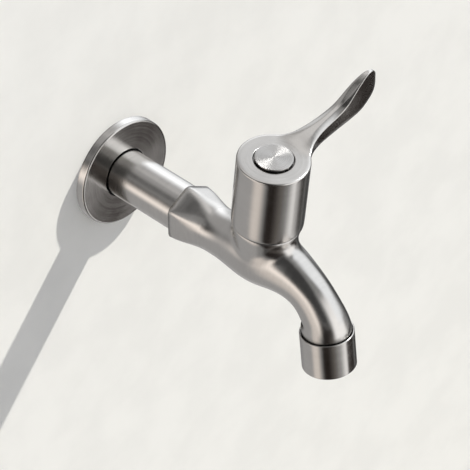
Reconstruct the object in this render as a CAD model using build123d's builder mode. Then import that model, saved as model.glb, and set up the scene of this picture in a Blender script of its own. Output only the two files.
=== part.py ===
from build123d import *
import os
from math import cos, pi, radians, sin

# Cold water wall tap with a quarter-turn lever, a long inlet pipe and a turned-down spout.
# Millimetres. The origin is the centre of the wall plate's back face, on the wall.
# The pipe runs out of the wall along -Y, +Z is up, and the tap is the same on both sides of X = 0,
# apart from the lever, which is shown at its open position and points along +X.

# Wall plate
plate_radius = 25.7
plate_depth = 4.6
plate_sheet = 1.2
plate_edge_round = 0.9
plate_hole_gap = 0.8
grip_ring_section = 1.6
grip_ring_clearance = 0.05
grip_collar_wall = 1.0
grip_collar_depth = 2.0
gasket_width = 7.0

# Inlet pipe, with a G 1/2 thread behind the wall and a sealed spigot in the body
pipe_radius = 11.1
pipe_bore_radius = 5.8
pipe_length = 44.5
inlet_thread_radius = 10.4775
inlet_thread_pitch = 1.814
inlet_thread_depth = 1.162
inlet_thread_turns = 8
inlet_tip_chamfer = 1.2
spigot_radius = 8.3
spigot_length = 12.0
spigot_clearance = 0.02
spigot_ring_section = 1.5
spigot_ring_setback = 3.75

# Shares of a thread's pitch taken by its crest and its root, and of an O-ring's section by its groove
crest_share = 0.20
root_share = 0.16
groove_share = 1.2

# Hexagonal collar of the body, which runs out into the round neck behind it.
# Each row: distance from the collar's rear face, half across flats, radius of the corners.
collar_rows = [
    (0.0, 12.2, 0.8),
    (3.2, 12.05, 1.7),
    (7.0, 11.7, 3.8),
    (10.8, 11.2, 6.4),
    (14.4, 10.8, 8.8),
    (17.5, 10.6, 10.3),
]
collar_length = 17.5
collar_edge_chamfer = 0.6
neck_radius = 10.6
neck_to_valve = 29.0

# Body and spout: distance past the valve axis, centre height and outer radius of each station
body_stations = [
    (-22.0, 0.4, 10.9),
    (-15.0, 1.1, 11.9),
    (-1.0, 2.4, 13.6),
    (11.0, 2.6, 12.2),
    (21.5, 0.4, 10.2),
    (30.3, -4.7, 9.4),
    (36.75, -12.6, 10.0),
]
spout_end_reach = 37.9
spout_end_drop = 18.1
spout_end_radius = 10.9
spout_end_flare = 0.12
body_section_count = 18
outlet_lean = 5.4

# Valve boss and the water ways
valve_lean = 6.8
boss_wall = 2.72
boss_height = 26.0
boss_foot_radius = 10.9
boss_shoulder_radius = 15.2
boss_shoulder_height = 22.5
boss_blend_radius = 6.0
seat_height = 4.5
seat_port_radius = 4.6
inlet_way_radius = 4.6
inlet_way_drop = 3.2
spout_way_start = (7.5, 9.2)
spout_way_bend = (15.0, 5.4)
spout_way_heading = (0, -1, -0.25)
spout_way_start_radius = 4.8
spout_bend_wall = 4.1
spout_throat_wall = 2.9
spout_mouth_radius = 7.8
spout_mouth_depth = 1.5
spout_mouth_step = 0.5

# Spout end and aerator, with an M22 x 1 thread
outlet_thread_radius = 11.0
outlet_thread_pitch = 1.0
outlet_thread_depth = 0.6
outlet_thread_turns = 5
outlet_thread_clearance = 0.05
outlet_relief_depth = 0.8
outlet_relief_length = 1.4
aerator_wall = 1.0
aerator_height = 18.4
aerator_gap = 0.3
aerator_mouth_lip = 0.55
aerator_rim_chamfer = 0.25
aerator_edge_round = 0.5
aerator_lip_width = 1.2
aerator_lip_height = 1.0
aerator_washer_thickness = 1.6
aerator_washer_clearance = 0.05
aerator_cage_wall = 0.9
aerator_cage_step = 0.5
aerator_cage_clearance = 0.1
aerator_cage_ledge = 1.2
cage_mouth_setback = 0.6
diffuser_thickness = 1.4
diffuser_clearance = 0.05
diffuser_hole_radius = 0.55
diffuser_circles = [(4.3, 9), (6.9, 18)]
screen_thickness = 0.5
screen_hole_pitch = 2.1
screen_bar = 0.5
screen_margin = 0.4
screen_row_count = 9

# Ceramic-disc cartridge on a G 1/2 thread
cartridge_thread_radius = 10.4775
cartridge_thread_length = 9.0
cartridge_thread_runout = 0.5
cartridge_clearance = 0.05
cartridge_flange_inset = 0.4
cartridge_flange_thickness = 1.2
cartridge_hex_across_flats = 21.5
cartridge_hex_height = 4.0
cartridge_neck_wall = 2.35
cartridge_neck_height = 5.0
head_ring_section = 1.5
head_ring_clearance = 0.1
cage_step = 1.28
cage_wall = 1.25
cage_skirt = 0.8
chamber_gap = 0.8
window_height = 3.0
window_rise = 0.3
window_angle = 80.0

# Seat seal and the two ceramic discs
seal_height = 2.0
seal_bore_radius = 4.8
seal_foot_inset = 0.4
seal_fit = 0.05
seal_lip_width = 1.2
disc_thickness = 2.5
disc_clearance = 0.05
disc_rim = 1.3
disc_port_inner_radius = 2.4
disc_port_angle = 76.0
tang_height = 1.2
tang_width = 3.2
tang_clearance = 0.05
tang_inset = 0.6

# Spindle, its seals, slip ring and clip
spindle_radius = 5.0
spindle_clearance = 0.05
spindle_plate_thickness = 2.0
spindle_plate_clearance = 0.3
spindle_ring_section = 0.9
spindle_ring_clearance = 0.03
spindle_ring_rise = 5.0
spindle_ring_pitch = 4.2
spindle_ring_count = 2
glide_washer_thickness = 0.6
clip_thickness = 0.8
clip_gap = 0.1
clip_width = 1.6
clip_groove_depth = 0.9
clip_opening = 5.0
spline_teeth = 20
spline_step = 1.0
spline_tooth_depth = 0.5
spline_rise = 1.1
spline_length = 9.0

# Handle screw and washer
screw_radius = 2.0
screw_clearance = 0.05
screw_tip_chamfer = 0.5
screw_tip_gap = 1.0
screw_depth = 10.0
screw_head_radius = 3.6
screw_head_height = 2.4
screw_head_chamfer = (0.8, 0.6)
screw_socket_across_flats = 3.0
screw_socket_depth = 1.6
washer_thickness = 0.9
washer_clearance = 0.15
washer_split = 0.8

# Handle: cup over the valve, and the splined insert in its socket
cup_gap = 0.7
cup_wall = 2.0
cup_roof = 4.0
cup_crown = 7.9
cup_overlap = 2.95
cup_edge_round = 0.9
cup_bottom_chamfer = 0.5
insert_wall = 1.5
insert_clearance = 0.02
insert_end_gap = 0.4
insert_tooth_clearance = 0.05
socket_wall = 1.05
socket_web = 1.6
screw_hole_clearance = 0.3
screw_head_clearance = 0.6

# Cap and its retaining ring
cap_radius = 8.6
cap_gap = 0.35
cap_recess_depth = 1.3
cap_proud = 1.2
cap_thickness = 2.0
cap_edge = 0.4
cap_edge_drop = 0.5
cap_crown_drop = 0.15
cap_ledge = 0.8
cap_bore_wall = 1.7
cap_bore_rise = 0.4
cap_bore_base = 3.0
cap_bore_slope = 1.4
cap_skirt_clearance = 0.5
cap_skirt_wall = 1.2
cap_skirt_depth = 3.2
cap_ring_section = 1.0
cap_ring_drop = 1.5

# Lever sections: distance past the cup's wall, half width at the edge, half width of the flat top,
# then the heights of the flat top, the edge and the foot of the side, over the cup's top face
lever_sections = [
    (-7.4, 11.4, 10.6, -0.25, -0.50, -4.4),
    (-4.4, 9.4, 8.2, 0.15, -0.20, -4.2),
    (-1.4, 7.35, 5.2, 0.85, 0.35, -3.9),
    (2.5, 5.6, 2.8, 2.2, 1.4, -3.5),
    (8.1, 4.0, 1.3, 3.8, 2.9, -3.0),
    (15.1, 3.3, 0.9, 5.4, 4.4, -2.2),
    (22.1, 3.0, 0.8, 7.3, 6.2, -1.2),
    (26.7, 2.75, 0.8, 9.9, 9.2, -0.5),
    (32.1, 2.1, 0.9, 14.0, 13.7, 0.4),
    (36.1, 1.5, 0.8, 16.3, 16.1, 1.6),
    (39.3, 1.0, 0.6, 17.4, 17.2, 3.4),
    (42.1, 0.7, 0.45, 16.8, 16.6, 5.4),
    (43.7, 0.5, 0.3, 15.0, 14.8, 8.0),
    (44.3, 0.3, 0.2, 13.4, 13.2, 9.8),
]
lever_draft = 0.08
lever_foot_round = 0.9

# Reach of a cut past the face that it opens, and of a joined piece into the one it grows from
cut_over = 1.0

# Distances from the wall along the pipe
neck_distance = pipe_length + collar_length
chamber_distance = neck_distance + neck_to_valve
spigot_end = pipe_length + spigot_length
inlet_thread_length = inlet_thread_pitch * (inlet_thread_turns + 1)

# Heights along the valve axis
cage_bottom = seat_height + seal_height - cage_skirt
disc_floor = seat_height + seal_height
disc_joint = disc_floor + disc_thickness
disc_top = disc_joint + disc_thickness
plate_top = disc_top + spindle_plate_thickness
cage_ceiling = plate_top + glide_washer_thickness
thread_bottom = boss_height - cartridge_thread_length
chamber_top = thread_bottom - cartridge_thread_runout
flange_top = boss_height + cartridge_flange_thickness
hex_top = flange_top + cartridge_hex_height
neck_top = hex_top + cartridge_neck_height
clip_bottom = neck_top + clip_gap
clip_top = clip_bottom + clip_thickness
spline_bottom = clip_top + spline_rise
spline_top = spline_bottom + spline_length
insert_bottom = spline_bottom + insert_end_gap
insert_top = spline_top + insert_end_gap
web_top = insert_top + socket_web
head_bottom = web_top + washer_thickness
head_top = head_bottom + screw_head_height
cap_bore_bottom = head_bottom + cap_bore_rise
cup_bottom = boss_height - cup_overlap
cup_top = head_bottom + cup_crown
cup_ceiling = cup_top - cup_roof
recess_floor = cup_top - cap_recess_depth
cap_top = cup_top + cap_proud

# Radii about the valve axis
boss_radius = cartridge_thread_radius + boss_wall
cup_bore_radius = boss_radius + cup_gap
cup_radius = cup_bore_radius + cup_wall
cage_radius = cartridge_thread_radius - cage_step
cage_bore_radius = cage_radius - cage_wall
chamber_radius = cage_radius + chamber_gap
disc_radius = cage_bore_radius - disc_clearance
disc_port_radius = disc_radius - disc_rim
spindle_bore_radius = spindle_radius + spindle_clearance
spindle_plate_radius = cage_bore_radius - spindle_plate_clearance
spline_outer_radius = spindle_radius - spline_step
spline_root_radius = spline_outer_radius - spline_tooth_depth
tooth_width = pi * spline_root_radius / spline_teeth
insert_apothem = spline_outer_radius + insert_wall
socket_radius = insert_apothem / cos(radians(30)) + socket_wall
cartridge_neck_radius = spindle_bore_radius + cartridge_neck_wall
head_ring_radius = cartridge_thread_radius + head_ring_clearance + head_ring_section / 2
cap_bore_radius = cap_radius - cap_ledge
cap_skirt_radius = cap_bore_radius - cap_skirt_clearance
cap_tube_radius = cap_bore_radius + cap_bore_wall

# Depths and radii about the outlet axis, which starts at the spout's end face
outlet_thread_start = outlet_relief_length
spout_tip = outlet_thread_start + outlet_thread_pitch * (outlet_thread_turns + 1)
washer_bottom = spout_tip + aerator_washer_thickness
lip_top = aerator_height - aerator_lip_height
screen_top = lip_top - screen_thickness
diffuser_top = washer_bottom + aerator_cage_ledge
aerator_radius = outlet_thread_radius + aerator_wall
aerator_cage_radius = outlet_thread_radius - aerator_cage_step
aerator_bore_radius = aerator_cage_radius + aerator_cage_clearance
aerator_lip_radius = aerator_bore_radius - aerator_lip_width
cage_inner_radius = aerator_cage_radius - aerator_cage_wall

# Axes
valve_tilt = radians(valve_lean)
outlet_tilt = radians(outlet_lean)
out_of_wall = Vector(0, -1, 0)
sideways = Vector(1, 0, 0)
valve_up = Vector(0, -sin(valve_tilt), cos(valve_tilt))
outlet_down = Vector(0, -sin(outlet_tilt), -cos(outlet_tilt))
wall_centre = Vector(0, 0, 0)
valve_origin = Vector(0, -chamber_distance, 0)
spout_end = Vector(0, -chamber_distance - spout_end_reach, -spout_end_drop)
pipe_axis = Axis(wall_centre, out_of_wall)
valve_axis = Axis(valve_origin, valve_up)
outlet_axis = Axis(spout_end, outlet_down)


def cross_plane(origin, along, distance=0.0):
    """Plane square to an axis, at a distance along it, with local x sideways."""
    return Plane(origin=origin + along * distance, x_dir=sideways, z_dir=along)


def side_plane(origin, along):
    """Plane through an axis: local x is the radius and local y runs along the axis."""
    return Plane(origin=origin, x_dir=sideways, z_dir=sideways.cross(along))


def pipe_cross(distance):
    return cross_plane(wall_centre, out_of_wall, distance)


def valve_cross(height):
    return cross_plane(valve_origin, valve_up, height)


def outlet_cross(depth):
    return cross_plane(spout_end, outlet_down, depth)


pipe_side = side_plane(wall_centre, out_of_wall)
valve_side = side_plane(valve_origin, valve_up)
outlet_side = side_plane(spout_end, outlet_down)


def turned(plane, outline):
    """Face through (radius, position along the axis) corners, ready to revolve."""
    with BuildSketch(plane) as face:
        with BuildLine():
            Polyline(*outline, close=True)
        make_face()
    return face.sketch


def collar(plane, inner, outer, start, end):
    """Square-cornered ring section between two radii and two positions."""
    return turned(plane, [(inner, start), (outer, start), (outer, end), (inner, end)])


def round_section(plane, radius, position, section):
    """Round section of an O-ring."""
    with BuildSketch(plane) as face:
        with Locations((radius, position)):
            Circle(section / 2)
    return face.sketch


def thread_outline(crest, start, pitch, turns, depth):
    """Crest and root corners of a thread, as (radius, position)."""
    half_crest = crest_share * pitch / 2
    half_root = root_share * pitch / 2
    corners = []
    for turn in range(turns):
        base = start + turn * pitch
        corners += [
            (crest, base + half_crest),
            (crest - depth, base + pitch / 2 - half_root),
            (crest - depth, base + pitch / 2 + half_root),
            (crest, base + pitch - half_crest),
        ]
    return corners


def groove_outline(outside, bottom, middle, section):
    """Corners of an O-ring groove in a shaft, as (radius, position)."""
    half = groove_share * section / 2
    return [(outside, middle - half), (bottom, middle - half), (bottom, middle + half), (outside, middle + half)]


def sector(plane, inner, outer, angle, middle):
    """Ring sector between two radii, centred on an angle in degrees."""
    first = middle - angle / 2
    with BuildSketch(plane) as face:
        with BuildLine():
            outer_arc = CenterArc((0, 0), outer, first, angle)
            inner_arc = CenterArc((0, 0), inner, first, angle)
            Line(outer_arc @ 0, inner_arc @ 0)
            Line(outer_arc @ 1, inner_arc @ 1)
        make_face()
    return face.sketch


def tube_faces(points, radii, line):
    """Round sections at points of a centre line, each square to the line."""
    faces = []
    for point, radius in zip(points, radii):
        along = line.tangent_at(Vector(point))
        with BuildSketch(Plane(origin=point, x_dir=sideways, z_dir=along)) as section:
            Circle(radius)
        faces.append(section.sketch)
    return faces


def collar_faces(rows):
    """Hexagons with round corners along the collar."""
    faces = []
    for distance, half_flats, corner in rows:
        with BuildSketch(pipe_cross(pipe_length + distance)) as section:
            RegularPolygon(half_flats, 6, major_radius=False, rotation=30)
            fillet(section.vertices(), corner)
        faces.append(section.sketch)
    return faces


def body_faces(profile, count):
    """Round sections of the body, at even steps of a line through reach, height and radius."""
    faces = []
    for step in range(count + 1):
        place = profile.position_at(step / count)
        heading = profile.tangent_at(step / count)
        centre = Vector(0, -chamber_distance - place.X, place.Y)
        along = Vector(0, -heading.X, heading.Y).normalized()
        with BuildSketch(Plane(origin=centre, x_dir=sideways, z_dir=along)) as section:
            Circle(place.Z)
        faces.append(section.sketch)
    return faces


os.makedirs("parts", exist_ok=True)

# Inlet pipe
socket_bore_radius = spigot_radius + spigot_clearance
spigot_ring_radius = socket_bore_radius - spigot_ring_section / 2
spigot_ring_middle = spigot_end - spigot_ring_setback
spigot_groove_radius = spigot_ring_radius - spigot_ring_section / 2
with BuildPart() as inlet_pipe:
    thread_tip = -inlet_thread_length
    thread_start = thread_tip + inlet_tip_chamfer
    outline = [(pipe_bore_radius, thread_tip), (inlet_thread_radius - inlet_tip_chamfer, thread_tip)]
    outline += [(inlet_thread_radius, thread_start)]
    outline += thread_outline(
        inlet_thread_radius, thread_start, inlet_thread_pitch, inlet_thread_turns, inlet_thread_depth
    )
    outline += [(inlet_thread_radius, 0), (pipe_radius, 0), (pipe_radius, pipe_length)]
    outline += [(spigot_radius, pipe_length)]
    outline += groove_outline(spigot_radius, spigot_groove_radius, spigot_ring_middle, spigot_ring_section)
    outline += [(spigot_radius, spigot_end), (pipe_bore_radius, spigot_end)]
    revolve(turned(pipe_side, outline), axis=pipe_axis)
inlet_pipe.part.label = "inlet_pipe"
export_step(inlet_pipe.part, "parts/inlet_pipe.step")

with BuildPart() as pipe_o_ring:
    revolve(round_section(pipe_side, spigot_ring_radius, spigot_ring_middle, spigot_ring_section), axis=pipe_axis)
pipe_o_ring.part.label = "pipe_o_ring"
export_step(pipe_o_ring.part, "parts/pipe_o_ring.step")

# Line of the body through reach, height and radius, and centre line of the spout's water way
profile_points = [(-neck_to_valve, 0, neck_radius)] + body_stations
profile_points += [(spout_end_reach, -spout_end_drop, spout_end_radius)]
spout_end_heading = (sin(outlet_tilt), -cos(outlet_tilt), spout_end_flare)
with BuildLine() as body_line:
    Spline(*profile_points, tangents=[(1, 0, 0), spout_end_heading])
way_places = [spout_way_start, spout_way_bend] + [station[:2] for station in body_stations[4:6]]
way_points = [Vector(0, -chamber_distance - reach, height) for reach, height in way_places] + [spout_end]
bend_radius, throat_radius = [station[2] for station in body_stations[4:6]]
bend_way_radius = bend_radius - spout_bend_wall
way_radii = [spout_way_start_radius, (spout_way_start_radius + bend_way_radius) / 2, bend_way_radius]
way_radii += [throat_radius - spout_throat_wall, spout_mouth_radius - spout_mouth_step]
with BuildLine() as way_line:
    Spline(*way_points, tangents=[spout_way_heading, outlet_down])

# Body: hexagonal collar, neck, chamber, valve boss and spout in one casting
with BuildPart() as tap_body:
    loft(collar_faces(collar_rows))
    collar_corner = collar_rows[0][1] / cos(radians(30))
    rear_edge = (collar_corner - collar_edge_chamfer, pipe_length)
    shoulder = (collar_corner, pipe_length + collar_edge_chamfer)
    outline = [(0, pipe_length), rear_edge, shoulder, (collar_corner, neck_distance), (0, neck_distance)]
    revolve(turned(pipe_side, outline), axis=pipe_axis, mode=Mode.INTERSECT)
    loft(body_faces(body_line.edge(), body_section_count))
    outline = [(0, 0), (boss_foot_radius, 0), (boss_shoulder_radius, boss_shoulder_height)]
    outline += [(boss_radius, boss_shoulder_height), (boss_radius, boss_height), (0, boss_height)]
    revolve(turned(valve_side, outline), axis=valve_axis)
    boss_side = tap_body.faces().filter_by(GeomType.CONE).sort_by(SortBy.AREA)[-1]
    fillet(boss_side.edges().filter_by(GeomType.BSPLINE), boss_blend_radius)
    # Threaded end of the spout
    relief_radius = outlet_thread_radius - outlet_relief_depth
    outlet_crest = outlet_thread_radius - outlet_thread_clearance
    outline = [(0, -cut_over), (relief_radius, -cut_over), (relief_radius, outlet_thread_start)]
    outline += [(outlet_crest, outlet_thread_start)]
    outline += thread_outline(
        outlet_crest, outlet_thread_start, outlet_thread_pitch, outlet_thread_turns, outlet_thread_depth
    )
    outline += [(outlet_crest, spout_tip), (0, spout_tip)]
    revolve(turned(outlet_side, outline), axis=outlet_axis)
    # Pipe socket and inlet way
    with BuildSketch(pipe_cross(pipe_length)):
        Circle(socket_bore_radius)
    extrude(amount=spigot_length, mode=Mode.SUBTRACT)
    inlet_way_start = Vector(0, -spigot_end, 0)
    inlet_way = Vector(0, -chamber_distance, -inlet_way_drop) - inlet_way_start
    with BuildSketch(cross_plane(inlet_way_start, inlet_way.normalized(), -cut_over)):
        Circle(inlet_way_radius)
    extrude(amount=inlet_way.length + cut_over, mode=Mode.SUBTRACT)
    # Seat port, valve chamber, thread and ring recess
    port_bottom = -inlet_way_drop
    with BuildSketch(valve_cross(port_bottom)):
        Circle(seat_port_radius)
    extrude(amount=seat_height - port_bottom, mode=Mode.SUBTRACT)
    with BuildSketch(valve_cross(seat_height)):
        Circle(chamber_radius)
    extrude(amount=chamber_top - seat_height, mode=Mode.SUBTRACT)
    with BuildSketch(valve_cross(chamber_top)):
        Circle(cartridge_thread_radius)
    extrude(amount=boss_height, mode=Mode.SUBTRACT)
    with BuildSketch(valve_cross(boss_height - head_ring_section)):
        Circle(head_ring_radius + head_ring_section / 2)
    extrude(amount=head_ring_section + cut_over, mode=Mode.SUBTRACT)
    # Spout way
    loft(tube_faces(way_points, way_radii, way_line.edge()), mode=Mode.SUBTRACT)
    with BuildSketch(outlet_cross(-spout_mouth_depth)):
        Circle(spout_mouth_radius)
    extrude(amount=spout_mouth_depth + spout_tip + cut_over, mode=Mode.SUBTRACT)
tap_body.part.label = "tap_body"
export_step(tap_body.part, "parts/tap_body.step")

# Wall plate: a drawn cover with a rolled rim, and a collar that holds the grip ring
plate_hole_radius = pipe_radius + plate_hole_gap
plate_back = plate_depth - plate_sheet
rim_inner_radius = plate_radius - plate_sheet
grip_ring_inner = pipe_radius + grip_ring_clearance
grip_collar_radius = grip_ring_inner + grip_ring_section
with BuildPart() as wall_flange:
    collar_tip = plate_back - grip_collar_depth
    collar_outer = grip_collar_radius + grip_collar_wall
    outline = [(plate_hole_radius, plate_depth), (plate_radius, plate_depth), (plate_radius, 0)]
    outline += [(rim_inner_radius, 0), (rim_inner_radius, plate_back), (collar_outer, plate_back)]
    outline += [(collar_outer, collar_tip), (grip_collar_radius, collar_tip)]
    outline += [(grip_collar_radius, plate_back), (plate_hole_radius, plate_back)]
    revolve(turned(pipe_side, outline), axis=pipe_axis)
    front_edge = wall_flange.edges().filter_by(GeomType.CIRCLE).group_by(Axis.Y)[0].sort_by(SortBy.RADIUS)[-1]
    fillet(front_edge, plate_edge_round)
wall_flange.part.label = "wall_flange"
export_step(wall_flange.part, "parts/wall_flange.step")

with BuildPart() as flange_grip_ring:
    half_section = grip_ring_section / 2
    grip_ring_middle = plate_back - half_section
    revolve(
        round_section(pipe_side, grip_ring_inner + half_section, grip_ring_middle, grip_ring_section), axis=pipe_axis
    )
flange_grip_ring.part.label = "flange_grip_ring"
export_step(flange_grip_ring.part, "parts/flange_grip_ring.step")

with BuildPart() as flange_gasket:
    revolve(collar(pipe_side, rim_inner_radius - gasket_width, rim_inner_radius, 0, plate_back), axis=pipe_axis)
flange_gasket.part.label = "flange_gasket"
export_step(flange_gasket.part, "parts/flange_gasket.step")

# Cartridge body: cage with two windows, thread, flange, hexagon and neck
with BuildPart() as cartridge_body:
    thread_crest = cartridge_thread_radius - cartridge_clearance
    flange_radius = boss_radius - cartridge_flange_inset
    outline = [(cage_bore_radius, cage_bottom), (cage_radius, cage_bottom), (cage_radius, thread_bottom)]
    outline += [(thread_crest, thread_bottom), (thread_crest, boss_height), (flange_radius, boss_height)]
    outline += [(flange_radius, flange_top), (cartridge_neck_radius, flange_top)]
    outline += [(cartridge_neck_radius, neck_top), (spindle_bore_radius, neck_top)]
    outline += [(spindle_bore_radius, cage_ceiling), (cage_bore_radius, cage_ceiling)]
    revolve(turned(valve_side, outline), axis=valve_axis)
    with BuildSketch(valve_cross(flange_top)):
        RegularPolygon(cartridge_hex_across_flats / 2, 6, major_radius=False)
        Circle((cartridge_neck_radius + spindle_bore_radius) / 2, mode=Mode.SUBTRACT)
    extrude(amount=cartridge_hex_height)
    with BuildSketch(valve_cross(disc_joint + window_rise)):
        Rectangle(4 * cage_radius, 2 * cage_radius * sin(radians(window_angle / 2)))
        Circle(disc_port_radius, mode=Mode.SUBTRACT)
    extrude(amount=window_height, mode=Mode.SUBTRACT)
cartridge_body.part.label = "cartridge_body"
export_step(cartridge_body.part, "parts/cartridge_body.step")

with BuildPart() as cartridge_head_ring:
    ring_height = boss_height - head_ring_section / 2
    revolve(round_section(valve_side, head_ring_radius, ring_height, head_ring_section), axis=valve_axis)
cartridge_head_ring.part.label = "cartridge_head_ring"
export_step(cartridge_head_ring.part, "parts/cartridge_head_ring.step")

with BuildPart() as seat_seal:
    foot_radius = cage_radius - seal_foot_inset
    neck_outer = cage_bore_radius - seal_fit
    outline = [(seal_bore_radius, seat_height), (foot_radius, seat_height), (foot_radius, cage_bottom)]
    outline += [(neck_outer, cage_bottom), (neck_outer, disc_floor), (seal_bore_radius + seal_lip_width, disc_floor)]
    revolve(turned(valve_side, outline), axis=valve_axis)
seat_seal.part.label = "seat_seal"
export_step(seat_seal.part, "parts/seat_seal.step")

# Ceramic discs: each has two ports, and the upper one has a slot for the spindle's tangs
with BuildPart() as fixed_ceramic_disc:
    with BuildSketch(valve_cross(disc_floor)):
        Circle(disc_radius)
    extrude(amount=disc_thickness)
    for middle in (0, 180):
        port = sector(valve_cross(disc_floor), disc_port_inner_radius, disc_port_radius, disc_port_angle, middle)
        extrude(port, amount=disc_thickness, mode=Mode.SUBTRACT)
fixed_ceramic_disc.part.label = "fixed_ceramic_disc"
export_step(fixed_ceramic_disc.part, "parts/fixed_ceramic_disc.step")

with BuildPart() as moving_ceramic_disc:
    with BuildSketch(valve_cross(disc_joint)):
        Circle(disc_radius)
    extrude(amount=disc_thickness)
    for middle in (0, 180):
        open_radius = disc_radius + cut_over
        port = sector(valve_cross(disc_joint), disc_port_inner_radius, open_radius, disc_port_angle, middle)
        extrude(port, amount=disc_thickness, mode=Mode.SUBTRACT)
    with BuildSketch(valve_cross(disc_top - tang_height)):
        Rectangle(tang_width, 2 * disc_radius + cut_over)
        Rectangle(tang_width, 2 * disc_port_inner_radius, mode=Mode.SUBTRACT)
    extrude(amount=tang_height, mode=Mode.SUBTRACT)
moving_ceramic_disc.part.label = "moving_ceramic_disc"
export_step(moving_ceramic_disc.part, "parts/moving_ceramic_disc.step")

# Spindle: drive plate with two tangs, seal grooves, clip groove, spline and screw hole
spindle_ring_radius = spindle_bore_radius - spindle_ring_clearance - spindle_ring_section / 2
spindle_groove_radius = spindle_ring_radius - spindle_ring_section / 2
spindle_ring_heights = [cage_ceiling + spindle_ring_rise + i * spindle_ring_pitch for i in range(spindle_ring_count)]
clip_groove_radius = spindle_radius - clip_groove_depth
with BuildPart() as spindle:
    outline = [(0, disc_top), (spindle_plate_radius, disc_top), (spindle_plate_radius, plate_top)]
    outline += [(spindle_radius, plate_top)]
    for height in spindle_ring_heights:
        outline += groove_outline(spindle_radius, spindle_groove_radius, height, spindle_ring_section)
    outline += [(spindle_radius, clip_bottom), (clip_groove_radius, clip_bottom), (clip_groove_radius, clip_top)]
    outline += [(spindle_radius, clip_top), (spindle_radius, spline_bottom), (spline_root_radius, spline_bottom)]
    outline += [(spline_root_radius, spline_top), (0, spline_top)]
    revolve(turned(valve_side, outline), axis=valve_axis)
    with BuildSketch(valve_cross(disc_top - tang_height)):
        Rectangle(tang_width - 2 * tang_clearance, 2 * (disc_radius - tang_inset))
        Rectangle(tang_width, 2 * (disc_port_inner_radius + tang_clearance), mode=Mode.SUBTRACT)
    extrude(amount=tang_height)
    with BuildSketch(valve_cross(spline_bottom)):
        with PolarLocations(spline_root_radius, spline_teeth):
            Rectangle(2 * spline_tooth_depth, tooth_width)
    extrude(amount=spline_length)
    with BuildSketch(valve_cross(spline_top - screw_depth)):
        Circle(screw_radius)
    extrude(amount=screw_depth, mode=Mode.SUBTRACT)
spindle.part.label = "spindle"
export_step(spindle.part, "parts/spindle.step")

with BuildPart() as spindle_o_rings:
    for height in spindle_ring_heights:
        revolve(round_section(valve_side, spindle_ring_radius, height, spindle_ring_section), axis=valve_axis)
spindle_o_rings.part.label = "spindle_o_rings"
export_step(spindle_o_rings.part, "parts/spindle_o_rings.step")

with BuildPart() as glide_washer:
    revolve(collar(valve_side, spindle_bore_radius, spindle_plate_radius, plate_top, cage_ceiling), axis=valve_axis)
glide_washer.part.label = "glide_washer"
export_step(glide_washer.part, "parts/glide_washer.step")

with BuildPart() as spindle_clip:
    clip_outer_radius = spindle_radius + clip_width
    with BuildSketch(valve_cross(clip_bottom)):
        Circle(clip_outer_radius)
        Circle(clip_groove_radius, mode=Mode.SUBTRACT)
        with Locations((clip_outer_radius, 0)):
            Rectangle(2 * clip_outer_radius, clip_opening, mode=Mode.SUBTRACT)
    extrude(amount=clip_thickness)
spindle_clip.part.label = "spindle_clip"
export_step(spindle_clip.part, "parts/spindle_clip.step")

# Handle: turned cup with its socket and cap bore, and the lever lofted through its sections
with BuildPart() as handle:
    with BuildSketch(valve_side):
        with BuildLine():
            side_bottom = (cup_radius, cup_bottom + cup_bottom_chamfer)
            side_top = (cup_radius, cup_top - cup_edge_round)
            roof_edge = (cup_radius - cup_edge_round, cup_top)
            Polyline((0, cup_bottom), (cup_radius - cup_bottom_chamfer, cup_bottom), side_bottom, side_top)
            RadiusArc(side_top, roof_edge, -cup_edge_round)
            Polyline(roof_edge, (0, cup_top), (0, cup_bottom))
        make_face()
    revolve(axis=valve_axis)
    for reach, half, top_half, top, edge, foot in lever_sections:
        section_origin = valve_origin + valve_up * cup_top + sideways * (cup_radius + reach)
        foot_half = half + lever_draft * (edge - foot)
        with BuildSketch(Plane(origin=section_origin, x_dir=valve_up.cross(sideways), z_dir=sideways)):
            with BuildLine():
                side = [(half, edge), (foot_half, foot), (foot_half / 2, foot - lever_foot_round)]
                Polyline((-top_half, top), (top_half, top), *side, *[(-x, y) for x, y in reversed(side)], close=True)
            make_face()
    loft()
    # Inside of the cup, around the socket and the cap's bore
    tube_bottom = cap_bore_bottom - cap_bore_base
    inside = [(socket_radius, cup_bottom - cut_over), (cup_bore_radius, cup_bottom - cut_over)]
    inside += [(cup_bore_radius, cup_ceiling), (cap_tube_radius, cup_ceiling), (cap_tube_radius, tube_bottom)]
    inside += [(socket_radius, tube_bottom - cap_bore_slope)]
    revolve(turned(valve_side, inside), axis=valve_axis, mode=Mode.SUBTRACT)
    with BuildSketch(valve_cross(cup_bottom - cut_over)):
        Circle(cup_bore_radius)
    extrude(amount=insert_bottom - cup_bottom + cut_over, mode=Mode.SUBTRACT)
    with BuildSketch(valve_cross(insert_bottom)):
        RegularPolygon(insert_apothem, 6, major_radius=False)
    extrude(amount=insert_top - insert_bottom, mode=Mode.SUBTRACT)
    for floor, radius in (
        (insert_top, screw_radius + screw_hole_clearance),
        (web_top, screw_head_radius + screw_head_clearance),
        (cap_bore_bottom, cap_bore_radius),
        (recess_floor, cap_radius + cap_gap),
    ):
        with BuildSketch(valve_cross(floor)):
            Circle(radius)
        extrude(amount=cap_top - floor, mode=Mode.SUBTRACT)
handle.part.label = "handle"
export_step(handle.part, "parts/handle.step")

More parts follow.
